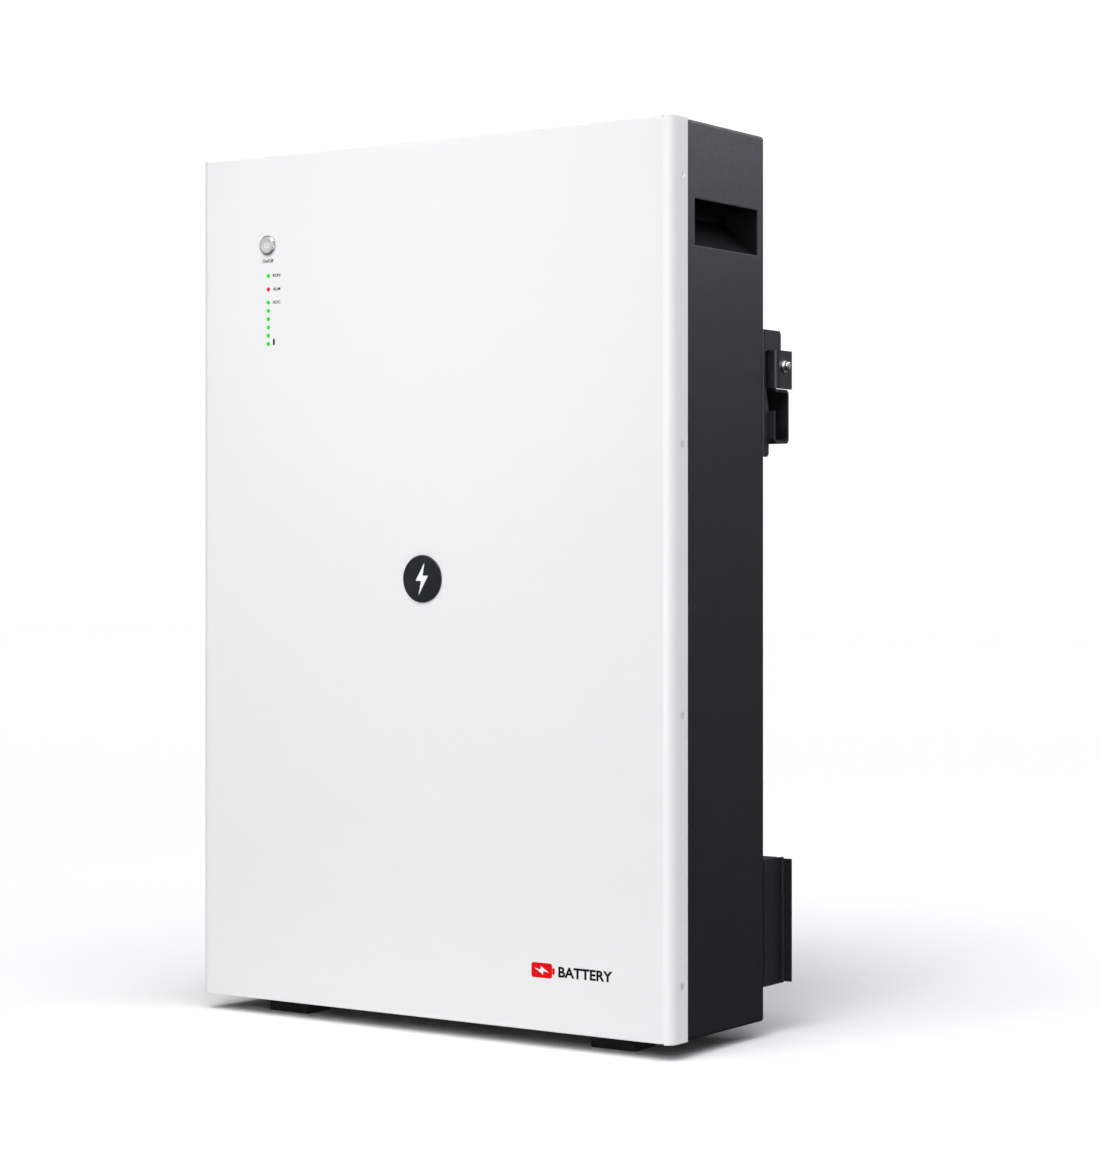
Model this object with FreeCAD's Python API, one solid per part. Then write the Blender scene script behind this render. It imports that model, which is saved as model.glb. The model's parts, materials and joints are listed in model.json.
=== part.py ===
"""Wall battery unit: a steel cabinet on short feet, hung on a wall rail.

Lengths are in millimetres. Every piece is drawn in cabinet coordinates: X is measured from the
cabinet's middle plane, Y is the depth behind the cover's front face and Z the height above the
cabinet's underside. save() then moves it to the part's own frame, whose origin is the middle of
the whole unit's footprint, on the floor.
"""

import FreeCAD, Part
import math
import os

V = FreeCAD.Vector

# Cabinet
WIDTH = 600.0
HEIGHT = 900.0
DEPTH = 180.0
SHEET = 1.5
FIT_GAP = 0.2
LID_DEPTH = 30.0
LID_CORNER = 11.0
LID_GAP = 1.6
LID_END_DROP = 0.6
LID_END_BEND = 1.2
LID_FOLD_HALF = 289.0
LID_NOTCH_HALF = 291.2
LID_NOTCH = 2.0
NECK_DROP = 3.5
RIM_Y = 4.0
RIM_HALF_OPENING = 272.0
RIM_HEIGHT = 28.0
REAR_BEND = 1.6
BOX_EDGE = 3.0
BOX_HALF = WIDTH / 2 - SHEET - FIT_GAP
INSIDE_HALF = BOX_HALF - SHEET
INSIDE_REAR = DEPTH - SHEET

# Stand-off from the wall, feet and the whole unit
WALL_GAP = 41.0
WALL_Y = DEPTH + WALL_GAP
FOOT_HEIGHT = 17.0
FOOT_WIDTH = 52.0
FOOT_LENGTH = 40.0
FOOT_X = 208.0
FOOT_FRONT_Y = 36.6
BUTTON_PROUD = 3.0
FRONT_Y = BUTTON_PROUD - (BUTTON_PROUD + WALL_Y) / 2

# Cover screws
SCREW_Y = 20.4
SCREW_HEAD = 3.75
SCREW_SUNK = 0.3
SINK_RADII = (4.2, 2.3)
SCREW_HEIGHTS = [55.0 + step * 790.0 / 3 for step in range(4)]

# Side handles
HANDLE_Y = (46.5, 168.1)
HANDLE_Z = (778.0, 823.4)
HANDLE_LIP = 4.0
HANDLE_DEPTH = 30.0
HANDLE_RISE = 32.0
HANDLE_TAPER = 12.0
HANDLE_UNDERCUT = 9.0
CUP_FLANGE_Y = (36.5, 177.5)
CUP_FLANGE_Z = (768.0, 842.0)
HANDLE_EDGE = 1.0

# Front panel
SWITCH_X = -206.0
SWITCH_Z = 804.4
SWITCH_BARREL = 9.5
BEZEL_RADIUS = 10.4
BEZEL_PROUD = 2.4
CAP_RADIUS = 8.8
LED_X = -205.5
LED_RADIUS = 2.3
LED_COLLAR = 3.2
LED_STATUS_Z = (772.0, 757.6, 743.5)
LED_PITCH = 8.8
LED_CHARGE_Z = [LED_STATUS_Z[2] - LED_PITCH * step for step in range(1, 6)]
BADGE_RADIUS = 24.5
BADGE_Z = 450.0

# Connection recess on the left side
PAN_Y = (40.0, 170.0)
PAN_Z = (590.0, 755.0)
PAN_FLOOR_X = -264.5
SOCKET_Z = 622.0
POSITIVE_Y = (58.0, 90.0)
NEGATIVE_Y = (122.0, 154.0)
BREAKER_Y = (50.0, 86.0)
BREAKER_Z = (670.0, 752.0)
LEVER_X = -262.0
LEVER_Z = 711.0
LEVER_TILT = 25.0
PORT_COUNT = 4
PORT_PITCH = 16.5
PORT_Y = 98.0
PORT_Z = 712.0
RESET_Y = 106.0
RESET_Z = 688.0
STUD_Y = 150.0
STUD_Z = 680.0

# Wall rail, ears and lower bracket
PLATE = 3.0
RAIL_HALF = 304.3
RAIL_FLANGE_X = 308.0
RAIL_WEB_Y = 190.6
RAIL_TOP = 683.5
RAIL_SHELF = 642.5
RAIL_BOTTOM = 588.7
RAIL_LIP_TOP = 621.4
RAIL_BEND = 2.5
RAIL_SLOT_Z = 631.5
RAIL_SLOTS_X = (-260.0, -120.0, 120.0, 260.0)
LOCK_Y = 206.0
LOCK_Z = 667.6
LOCK_HEAD = 4.7
LOCK_WASHER = 6.5
EAR_HALF = 298.5
EAR_TOP = 704.3
EAR_BOTTOM = 574.5
EAR_BOLT_X = 279.0
EAR_BOLT_HEIGHTS = (590.0, 640.0, 690.0)
BRACKET_Z = (34.7, 163.7)
BRACKET_FLANGE_X = 308.0
BRACKET_BOLTS_X = (-240.0, -120.0, 120.0, 240.0)
BRACKET_BOLT_Z = 99.2
BOLT_HOLE = 3.3

# Battery cells: four rows of eight, each row a module on its own tray
ROWS = 4
CELLS_PER_ROW = 8
CELL = (50.0, 160.0, 118.5)
CELL_PITCH = 50.0
CELL_Y = 11.0
ROW_BASE = 12.0
ROW_PITCH = 142.0
POST_OFFSET = 52.0
POST_RISE = 3.0
BAR = 2.0
LINK_Y = (133.0, 153.0)
LINK_X = 235.0
NEGATIVE_RISER_X = -255.0
POSITIVE_RISER_X = -104.0

# Electronics
BOARD = 1.6
PLATE_HALF = 240.0
PLATE_Y = 168.0
BMS_X = (-60.0, 220.0)
BMS_Y = 150.0
BMS_Z = (640.0, 870.0)


# ---- Building helpers ----

def block(x, y, z):
    """Box between a pair of X, of Y and of Z values."""
    return Part.makeBox(x[1] - x[0], y[1] - y[0], z[1] - z[0], V(x[0], y[0], z[0]))


def rod(radius, start, direction, length):
    return Part.makeCylinder(radius, length, V(*start), V(*direction))


def tube(outer, inner, start, direction, length):
    return rod(outer, start, direction, length).cut(rod(inner, start, direction, length))


def taper(radius, end_radius, start, direction, length):
    return Part.makeCone(radius, end_radius, length, V(*start), V(*direction))


def hexagon(across_flats, start, direction, length):
    """Six-sided prism along a direction."""
    radius = across_flats / math.sqrt(3)
    turns = [math.radians(60 * corner) for corner in range(7)]
    corners = [V(radius * math.cos(turn), radius * math.sin(turn), 0) for turn in turns]
    prism = Part.Face(Part.makePolygon(corners)).extrude(V(0, 0, length))
    prism.Placement = FreeCAD.Placement(V(*start), FreeCAD.Rotation(V(0, 0, 1), V(*direction)))
    return prism


def fuse(shapes):
    shapes = list(shapes)
    return shapes[0].multiFuse(shapes[1:]).removeSplitter()


def group(shapes):
    return Part.makeCompound(list(shapes))


def round_edges(shape, radius, chosen):
    """Fillet the straight edges whose two end points pass the test."""
    edges = []
    for edge in shape.Edges:
        ends = [vertex.Point for vertex in edge.Vertexes]
        if len(ends) == 2 and chosen(*ends):
            edges.append(edge)
    return shape.makeFillet(radius, edges)


def upright(a, b):
    return abs(a.x - b.x) < 0.01 and abs(a.y - b.y) < 0.01


def beside(path, shift, radius):
    """Lines and arcs that run beside a path of corners, shift to its left."""
    edges = []
    heading = (path[1] - path[0]).normalize()
    last = path[0] + V(-heading.y, heading.x, 0) * shift
    for corner, after in zip(path[1:], path[2:]):
        onward = (after - corner).normalize()
        turn = math.atan2(heading.cross(onward).z, heading.dot(onward))
        run = radius * math.tan(abs(turn) / 2)
        side = math.copysign(1, turn)
        centre = corner - heading * run + V(-heading.y, heading.x, 0) * side * radius
        inward = (onward - heading).normalize()
        first = corner - heading * run + V(-heading.y, heading.x, 0) * shift
        middle = centre - inward * (radius - side * shift)
        end = corner + onward * run + V(-onward.y, onward.x, 0) * shift
        edges.append(Part.LineSegment(last, first).toShape())
        edges.append(Part.Arc(first, middle, end).toShape())
        last = end
        heading = onward
    finish = path[-1] + V(-heading.y, heading.x, 0) * shift
    edges.append(Part.LineSegment(last, finish).toShape())
    return edges, finish


TURNS = {
    "yz": FreeCAD.Rotation(V(1, 1, 1), 120),
    "xz": FreeCAD.Rotation(V(1, 0, 0), 90),
    "xy": FreeCAD.Rotation(),
}


def bent_sheet(plane, corners, thickness, bend, span):
    """Bent strip: its mid-line's corners lie in a plane, and span is its two edges across it."""
    path = [V(across, up, 0) for across, up in corners]
    radius = bend + thickness / 2
    left, left_end = beside(path, thickness / 2, radius)
    right, right_end = beside(path, -thickness / 2, radius)
    caps = [
        Part.LineSegment(left_end, right_end).toShape(),
        Part.LineSegment(left[0].Vertexes[0].Point, right[0].Vertexes[0].Point).toShape(),
    ]
    outline = Part.Wire(Part.__sortEdges__(left + right + caps))
    strip = Part.Face(outline).extrude(V(0, 0, abs(span[1] - span[0])))
    start = -span[1] if plane == "xz" else span[0]
    strip.translate(V(0, 0, start))
    strip.rotate(V(0, 0, 0), TURNS[plane].Axis, math.degrees(TURNS[plane].Angle))
    return strip


def outline_yz(points, x):
    """Flat plate whose outline is (Y, Z) points, between two X values."""
    corners = [V(x[0], depth, height) for depth, height in points + points[:1]]
    return Part.Face(Part.makePolygon(corners)).extrude(V(x[1] - x[0], 0, 0))


def cable(points, radius, bend):
    """Round cable: straight runs joined by tangent arcs."""
    path = [V(*point) for point in points]
    edges = []
    last = path[0]
    for before, corner, after in zip(path, path[1:], path[2:]):
        heading = (corner - before).normalize()
        onward = (after - corner).normalize()
        half = heading.getAngle(onward) / 2
        first = corner - heading * bend * math.tan(half)
        end = corner + onward * bend * math.tan(half)
        inward = (onward - heading).normalize()
        middle = corner + inward * (bend / math.cos(half) - bend)
        edges.append(Part.LineSegment(last, first).toShape())
        edges.append(Part.Arc(first, middle, end).toShape())
        last = end
    edges.append(Part.LineSegment(last, path[-1]).toShape())
    start = (path[1] - path[0]).normalize()
    section = Part.Face(Part.Wire(Part.makeCircle(radius, path[0], start)))
    return Part.Wire(edges).makePipe(section)


def save(name, shape):
    """Move a piece from cabinet coordinates to the part's frame and write it."""
    moved = shape.copy()
    moved.translate(V(0, FRONT_Y, FOOT_HEIGHT))
    moved.exportStep("parts/" + name + ".step")


# ---- Cabinet ----

def enclosure():
    """Open-fronted steel box: a stepped neck at the front slides inside the cover."""
    back = block((-BOX_HALF, BOX_HALF), (LID_DEPTH + LID_GAP, DEPTH), (0, HEIGHT))
    back = round_edges(back, REAR_BEND, lambda a, b: min(a.y, b.y) > DEPTH - 0.01 and upright(a, b))
    back = round_edges(back, BOX_EDGE, along_outline)
    neck = block((-BOX_HALF, BOX_HALF), (RIM_Y, LID_DEPTH + 10), (NECK_DROP, HEIGHT - NECK_DROP))
    corner = LID_CORNER - SHEET - 0.3
    neck = round_edges(neck, corner, lambda a, b: upright(a, b) and a.y < RIM_Y + 0.01)
    room = block((-INSIDE_HALF, INSIDE_HALF), (LID_DEPTH + 2.5, INSIDE_REAR), (SHEET, HEIGHT - SHEET))
    low = NECK_DROP + SHEET
    throat = block((-INSIDE_HALF, INSIDE_HALF), (RIM_Y + SHEET, LID_DEPTH + 11), (low, HEIGHT - low))
    throat = round_edges(throat, corner - SHEET, lambda a, b: upright(a, b) and a.y < LID_DEPTH)
    mouth = block((-RIM_HALF_OPENING, RIM_HALF_OPENING), (0, 10), (RIM_HEIGHT, HEIGHT - RIM_HEIGHT))
    shell = back.fuse(neck).cut(room).cut(throat).cut(mouth)
    shell = shell.cut(group(enclosure_holes())).removeSplitter()
    return round_edges(shell, HANDLE_EDGE, around_handle)


def along_outline(a, b):
    """The box's lengthwise edges at its top and bottom, beside the side faces."""
    level = min(a.z, b.z) > HEIGHT - 0.01 or max(a.z, b.z) < 0.01
    return level and abs(a.x - b.x) < 0.01 and abs(abs(a.x) - BOX_HALF) < 0.01


def around_handle(a, b):
    """The outer edges of the two hand openings."""
    middle_y = (a.y + b.y) / 2
    middle_z = (a.z + b.z) / 2
    outside = min(abs(a.x), abs(b.x)) > BOX_HALF - 0.01
    beside_y = HANDLE_Y[0] - 0.01 < middle_y < HANDLE_Y[1] + 0.01
    return outside and beside_y and HANDLE_Z[0] - 0.01 < middle_z < HANDLE_Z[1] + 0.01


def enclosure_holes():
    right = (INSIDE_HALF - 5, BOX_HALF + 5)
    left = (-BOX_HALF - 5, -INSIDE_HALF + 5)
    holes = [block(side, HANDLE_Y, HANDLE_Z) for side in (left, right)]
    holes.append(block(left, PAN_Y, PAN_Z))
    for height in SCREW_HEIGHTS:
        for side in (-1, 1):
            holes.append(rod(2.2, (side * (INSIDE_HALF - 2), SCREW_Y, height), (side, 0, 0), 6))
    for x, height in rear_bolts():
        holes.append(rod(BOLT_HOLE, (x, INSIDE_REAR - 2, height), (0, 1, 0), 6))
    for x, y in foot_places():
        holes.append(rod(2.7, (x, y, -2), (0, 0, 1), 6))
    holes.append(rod(8.1, (-BOX_HALF - 2, 110, 60), (1, 0, 0), 6))
    return holes


def rear_bolts():
    """X and height of the M6 bolts through the back: first the ears' six, then the bracket's."""
    ears = [(side * EAR_BOLT_X, height) for side in (-1, 1) for height in EAR_BOLT_HEIGHTS]
    return ears + [(x, BRACKET_BOLT_Z) for x in BRACKET_BOLTS_X]


def foot_places():
    front = FOOT_FRONT_Y + FOOT_LENGTH / 2
    back = DEPTH - FOOT_LENGTH / 2 - 4
    return [(side * FOOT_X, y) for y in (front, back) for side in (-1, 1)]


def front_cover():
    """Tray-shaped cover: rolled long edges, folded short edges, relief notches between them."""
    half = WIDTH / 2
    outer = block((-half, half), (0, LID_DEPTH), (0, HEIGHT))
    outer = round_edges(outer, LID_CORNER, lambda a, b: upright(a, b) and a.y < 0.01)
    inner = block((SHEET - half, half - SHEET), (SHEET, LID_DEPTH + 20), (-1, HEIGHT + 1))
    inner = round_edges(inner, LID_CORNER - SHEET, lambda a, b: upright(a, b) and a.y < LID_DEPTH)
    wrap = outer.cut(inner)
    notch = (-LID_NOTCH_HALF, LID_NOTCH_HALF)
    wrap = wrap.cut(block(notch, (-1, LID_CORNER), (HEIGHT - LID_NOTCH, HEIGHT + 1)))
    wrap = wrap.cut(block(notch, (-1, LID_CORNER), (-1, LID_NOTCH)))
    bottom, top = LID_END_DROP, HEIGHT - LID_END_DROP
    ends = block((-LID_FOLD_HALF, LID_FOLD_HALF), (0, LID_DEPTH - 2), (bottom, top))
    ends = round_edges(ends, LID_END_BEND, lambda a, b: max(a.y, b.y) < 0.01 and abs(a.x - b.x) > 1)
    hollow = (SHEET, LID_DEPTH), (bottom + SHEET, top - SHEET)
    hollow = block((-LID_FOLD_HALF - 1, LID_FOLD_HALF + 1), *hollow)
    cover = wrap.fuse(ends.cut(hollow)).removeSplitter()
    return cover.cut(group(cover_holes()))


def cover_holes():
    holes = [rod(SWITCH_BARREL + 0.1, (SWITCH_X, -1, SWITCH_Z), (0, 1, 0), 4)]
    for height in list(LED_STATUS_Z) + LED_CHARGE_Z:
        holes.append(rod(LED_RADIUS + 0.05, (LED_X, -1, height), (0, 1, 0), 4))
    for height in SCREW_HEIGHTS:
        for side in (-1, 1):
            start = (side * WIDTH / 2, SCREW_Y, height)
            holes.append(taper(*SINK_RADII, start, (-side, 0, 0), SHEET))
    return holes


def cover_gasket():
    """Foam ring pressed between the cover and the box's rim."""
    y = (SHEET, RIM_Y)
    ring = block((-286, 286), y, (12, HEIGHT - 12))
    return ring.cut(block((-274, 274), (0, 10), (24, HEIGHT - 24)))


def cover_screw(side, height):
    """M4 countersunk screw with a cross recess, head just below the cover's side."""
    face = side * (WIDTH / 2 - SCREW_SUNK)
    head = taper(SCREW_HEAD, 2.0, (face, SCREW_Y, height), (-side, 0, 0), SHEET - SCREW_SUNK)
    shank = rod(2.0, (side * (WIDTH / 2 - SHEET), SCREW_Y, height), (-side, 0, 0), 9)
    x = sorted((face + side, face - side * 0.8))
    bars = [block(x, (SCREW_Y - a, SCREW_Y + a), (height - b, height + b)) for a, b in ((2, 0.4), (0.4, 2))]
    return head.fuse(shank).cut(group(bars))


def cover_nut(side, height):
    """Self-clinching nut on the inside of the box's side."""
    return tube(4.2, 2.05, (side * INSIDE_HALF, SCREW_Y, height), (-side, 0, 0), 3.5)


def both_sides(piece):
    return group(piece(side, height) for side in (-1, 1) for height in SCREW_HEIGHTS)


# ---- Handles ----

def funnel(grow, inset_x, deeper):
    """Hand recess: a pocket whose floor rises inwards, with an undercut for the fingers above."""
    floor = INSIDE_HALF - HANDLE_DEPTH - deeper
    mouth = rectangle_x(INSIDE_HALF + inset_x, HANDLE_Y, HANDLE_Z, grow)
    inner_y = (HANDLE_Y[0] + HANDLE_TAPER, HANDLE_Y[1] - HANDLE_TAPER)
    floor_z = HANDLE_Z[0] + HANDLE_RISE
    end = rectangle_x(floor, inner_y, (floor_z, HANDLE_Z[1] - 2), grow)
    pocket = Part.makeLoft([mouth, end], True, True)
    start = INSIDE_HALF - HANDLE_LIP + deeper
    top = HANDLE_Z[1] + HANDLE_UNDERCUT
    low = rectangle_x(start, (HANDLE_Y[0] + 3, HANDLE_Y[1] - 3), (floor_z, top), grow)
    high = rectangle_x(floor, inner_y, (floor_z, top), grow)
    return pocket.fuse(Part.makeLoft([low, high], True, True))


def rectangle_x(x, y, z, grow):
    """Rectangle at one X value, grown by a margin on every side."""
    y0, y1, z0, z1 = y[0] - grow, y[1] + grow, z[0] - grow, z[1] + grow
    return Part.makePolygon([V(x, *c) for c in ((y0, z0), (y1, z0), (y1, z1), (y0, z1), (y0, z0))])


def handle_cup(side):
    """Pressed cup behind the hand opening, with a flange welded inside the box."""
    flange = block((INSIDE_HALF - SHEET, INSIDE_HALF), CUP_FLANGE_Y, CUP_FLANGE_Z)
    cup = flange.fuse(funnel(SHEET, -0.5, SHEET))
    cup = cup.cut(funnel(0, 0, 0)).cut(funnel(0, 1, 0)).removeSplitter()
    return cup if side > 0 else cup.mirror(V(0, 0, 0), V(1, 0, 0))


# ---- Front panel ----

def badge_disc():
    """Round badge, stuck to the cover."""
    disc = rod(BADGE_RADIUS, (0, -1.6, BADGE_Z), (0, 1, 0), 1.6)
    rim = [edge for edge in disc.Edges if edge.BoundBox.YMax < -1.5 and edge.Closed]
    return disc.makeFillet(0.8, rim)


def switch_housing():
    """Push-switch body: bezel in front of the cover, threaded barrel and switch block behind."""
    axis = (0, 1, 0)
    bezel = rod(BEZEL_RADIUS, (SWITCH_X, -BEZEL_PROUD, SWITCH_Z), axis, BEZEL_PROUD)
    rim = [edge for edge in bezel.Edges if edge.Closed and edge.BoundBox.YMax < 0.1 - BEZEL_PROUD]
    bezel = bezel.makeFillet(1.3, rim)
    barrel = rod(SWITCH_BARREL, (SWITCH_X, -0.5, SWITCH_Z), axis, 24.5)
    bore = rod(CAP_RADIUS + 0.05, (SWITCH_X, -5, SWITCH_Z), axis, 19)
    pins = [rod(1.0, (SWITCH_X + dx, 23, SWITCH_Z), axis, 8) for dx in (-4, 4)]
    return bezel.multiFuse([barrel] + pins).cut(bore).removeSplitter()


def switch_nut():
    nut = hexagon(24, (SWITCH_X, SHEET, SWITCH_Z), (0, 1, 0), 4)
    return nut.cut(rod(SWITCH_BARREL + 0.05, (SWITCH_X, 0, SWITCH_Z), (0, 1, 0), 10))


def power_button():
    """Button cap with a shallow dished face and a plunger."""
    cap = rod(CAP_RADIUS, (SWITCH_X, -BUTTON_PROUD, SWITCH_Z), (0, 1, 0), 9)
    rim = [edge for edge in cap.Edges if edge.Closed and edge.BoundBox.YMax < 0.1 - BUTTON_PROUD]
    cap = cap.makeFillet(0.9, rim)
    dish_radius = 60.0
    dish = Part.makeSphere(dish_radius, V(SWITCH_X, 0.45 - BUTTON_PROUD - dish_radius, SWITCH_Z))
    plunger = rod(2.5, (SWITCH_X, 5.5, SWITCH_Z), (0, 1, 0), 4)
    return cap.cut(dish).fuse(plunger).removeSplitter()


def switch_spring():
    """Return spring behind the cap, as two flat coils at its pressed length."""
    coils = []
    for start in (9.6, 11.8):
        coils.append(tube(6.2, 4.6, (SWITCH_X, start, SWITCH_Z), (0, 1, 0), 2.1))
    return group(coils)


def led_lens(height):
    """Light pipe with a domed tip just proud of the cover."""
    tip = 0.9
    stem = rod(LED_RADIUS, (LED_X, -tip, height), (0, 1, 0), 8.4)
    ball = (LED_RADIUS ** 2 + tip ** 2) / (2 * tip)
    dome = Part.makeSphere(ball, V(LED_X, ball - tip, height))
    front = block((LED_X - 5, LED_X + 5), (-2, 0), (height - 5, height + 5))
    stem = stem.cut(front.cut(dome))
    return stem.fuse(rod(LED_COLLAR, (LED_X, SHEET, height), (0, 1, 0), 1.0)).removeSplitter()


def board_corners():
    return [(SWITCH_X + dx, height) for dx in (-12, 12) for height in (694, 782)]


def led_board():
    """Indicator board with its light chips and one socket."""
    board = block((SWITCH_X - 16, SWITCH_X + 16), (8, 8 + BOARD), (689, 787))
    chips = []
    for height in list(LED_STATUS_Z) + LED_CHARGE_Z:
        chips.append(block((LED_X - 1.4, LED_X + 1.4), (7.5, 8.1), (height - 1.4, height + 1.4)))
    socket = block((SWITCH_X - 6, SWITCH_X + 6), (8 + BOARD - 0.1, 16), (728, 742))
    holes = [rod(1.6, (x, 7, z), (0, 1, 0), 4) for x, z in board_corners()]
    return board.multiFuse(chips + [socket]).cut(group(holes)).removeSplitter()


def board_studs():
    """Welded studs on the cover's back that carry the indicator board, and their nuts."""
    pieces = []
    for x, z in board_corners():
        spacer = hexagon(5, (x, SHEET, z), (0, 1, 0), 8 - SHEET)
        pieces.append(spacer.fuse(rod(1.5, (x, 7, z), (0, 1, 0), 6)))
        nut = hexagon(5.5, (x, 8 + BOARD, z), (0, 1, 0), 2.4)
        pieces.append(nut.cut(rod(1.5, (x, 8, z), (0, 1, 0), 6)))
    return group(pieces)


# ---- Feet ----

def foot(x, y):
    """Moulded foot, counterbored from below for its screw."""
    half = FOOT_WIDTH / 2
    pad = block((x - half, x + half), (y - FOOT_LENGTH / 2, y + FOOT_LENGTH / 2), (-FOOT_HEIGHT, 0))
    pad = round_edges(pad, 1.2, upright)
    bore = rod(6, (x, y, -FOOT_HEIGHT - 1), (0, 0, 1), 10)
    return pad.cut(bore).cut(rod(2.7, (x, y, -FOOT_HEIGHT), (0, 0, 1), 20))


def foot_screw(x, y):
    """M5 socket screw up through the foot."""
    seat = 9 - FOOT_HEIGHT
    head = rod(4.25, (x, y, seat - 5), (0, 0, 1), 5)
    shank = rod(2.5, (x, y, seat), (0, 0, 1), -seat + SHEET + 4.5)
    return head.fuse(shank).cut(hexagon(4, (x, y, seat - 6), (0, 0, 1), 3.5)).removeSplitter()


# ---- Rear fixings ----

def rear_bolt(x, height):
    """M6 flange bolt through a 3 mm plate and the box's back."""
    seat = DEPTH + PLATE
    flange = rod(6.5, (x, seat, height), (0, 1, 0), 1)
    head = hexagon(10, (x, seat, height), (0, 1, 0), 4.4)
    shank = rod(3.0, (x, seat, height), (0, -1, 0), 10)
    return flange.multiFuse([head, shank]).removeSplitter()


def weld_nuts():
    """Nuts welded inside the back and the bottom of the box."""
    nuts = []
    for x, height in rear_bolts():
        nut = hexagon(10, (x, INSIDE_REAR, height), (0, -1, 0), 5)
        nuts.append(nut.cut(rod(3.05, (x, INSIDE_REAR, height), (0, -1, 0), 5)))
    for x, y in foot_places():
        nut = hexagon(8, (x, y, SHEET), (0, 0, 1), 4)
        nuts.append(nut.cut(rod(2.55, (x, y, SHEET), (0, 0, 1), 4)))
    return group(nuts)


def ear(side):
    """Hook plate: its finger lies on the rail and its leg drops behind the rail's web."""
    finger_rear = 215.0
    leg_front = RAIL_WEB_Y + PLATE + 3.4
    seat = RAIL_TOP
    outline = [
        (DEPTH, EAR_BOTTOM), (187, EAR_BOTTOM), (RAIL_WEB_Y - 0.4, EAR_BOTTOM + 3.2),
        (RAIL_WEB_Y - 0.4, 621.7), (183, 649), (183, seat), (leg_front, seat),
        (leg_front, 658), (leg_front + 2, 656), (finger_rear - 2, 656), (finger_rear, 658),
        (finger_rear, EAR_TOP - 3), (finger_rear - 3, EAR_TOP), (DEPTH, EAR_TOP),
    ]
    plate = outline_yz(outline, (EAR_HALF - PLATE, EAR_HALF))
    flange = block((262, EAR_HALF), (DEPTH, DEPTH + PLATE), (EAR_BOTTOM, EAR_TOP))
    flange = round_edges(flange, 2.5, lambda a, b: upright(a, b) and a.x > 290 and a.y < DEPTH + 1)
    edge = block((EAR_HALF - 2.5, EAR_HALF), (DEPTH, DEPTH + 2.5), (EAR_BOTTOM, EAR_TOP))
    edge = edge.cut(rod(2.5, (EAR_HALF - 2.5, DEPTH + 2.5, EAR_BOTTOM), (0, 0, 1), 200))
    ear_shape = flange.fuse(plate).cut(edge).removeSplitter()
    for height in EAR_BOLT_HEIGHTS:
        ear_shape = ear_shape.cut(rod(BOLT_HOLE, (EAR_BOLT_X, DEPTH - 1, height), (0, 1, 0), 6))
    return ear_shape if side > 0 else ear_shape.mirror(V(0, 0, 0), V(1, 0, 0))


def wall_rail():
    """Folded steel rail: an upper web for the ears, a shelf, a wall web with slots, and a lip."""
    front = RAIL_WEB_Y + PLATE / 2
    rear = WALL_Y - PLATE / 2
    low = RAIL_BOTTOM + PLATE / 2
    section = [(front, RAIL_TOP), (front, RAIL_SHELF), (rear, RAIL_SHELF), (rear, low), (front, low)]
    section.append((front, RAIL_LIP_TOP))
    rail = bent_sheet("yz", section, PLATE, RAIL_BEND, (-RAIL_HALF, RAIL_HALF))
    end_x = RAIL_FLANGE_X - PLATE / 2
    for side in (-1, 1):
        plan = [(side * (RAIL_HALF - 12), front), (side * end_x, front), (side * end_x, WALL_Y)]
        rail = rail.fuse(bent_sheet("xy", plan, PLATE, RAIL_BEND, (644.5, RAIL_TOP)))
        start = (side * (RAIL_FLANGE_X - 5), LOCK_Y, LOCK_Z)
        rail = rail.cut(rod(2.5, start, (side, 0, 0), 10))
    for x in RAIL_SLOTS_X:
        rail = rail.cut(slot_y(x, WALL_Y - 5, RAIL_SLOT_Z, 4.5, 20, 10))
    return rail.removeSplitter()


def slot_y(x, y, z, radius, length, depth):
    """Slot-shaped cutter along X, pushed through along Y."""
    run = length / 2 - radius
    ends = [rod(radius, (x + side * run, y, z), (0, 1, 0), depth) for side in (-1, 1)]
    return fuse(ends + [block((x - run, x + run), (y, y + depth), (z - radius, z + radius))])


def lock_screw(side):
    """M5 domed socket screw that clamps the rail; its tip stops just short of the ear."""
    seat = RAIL_FLANGE_X + 1.0
    head = rod(LOCK_HEAD, (side * seat, LOCK_Y, LOCK_Z), (side, 0, 0), 5)
    rim = [edge for edge in head.Edges if edge.Closed and abs(edge.CenterOfMass.x) > seat + 4.9]
    head = head.makeFillet(1.8, rim)
    head = head.cut(hexagon(4, (side * (seat + 2.5), LOCK_Y, LOCK_Z), (side, 0, 0), 4))
    shank = rod(2.45, (side * seat, LOCK_Y, LOCK_Z), (-side, 0, 0), seat - EAR_HALF - 0.4)
    return head.fuse(shank).removeSplitter()


def lock_washer(side):
    return tube(LOCK_WASHER, 2.65, (side * RAIL_FLANGE_X, LOCK_Y, LOCK_Z), (side, 0, 0), 1.0)


def lower_bracket():
    """Stand-off that holds the cabinet's lower end off the wall: plate, ends and shelves, welded."""
    end_face = EAR_HALF - PLATE
    plate = block((-end_face, end_face), (DEPTH, DEPTH + PLATE), BRACKET_Z)
    for x in BRACKET_BOLTS_X:
        plate = plate.cut(rod(BOLT_HOLE, (x, DEPTH - 1, BRACKET_BOLT_Z), (0, 1, 0), PLATE + 2))
    pieces = [plate] + [bracket_end(side) for side in (-1, 1)]
    shelf_y = (DEPTH + PLATE, WALL_Y - 3)
    for low in (BRACKET_Z[0], BRACKET_Z[1] - PLATE):
        shelf = block((-end_face, end_face), shelf_y, (low, low + PLATE))
        pieces.append(round_edges(shelf, 6, lambda a, b: upright(a, b) and a.y > WALL_Y - 4))
    return group(pieces)


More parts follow.
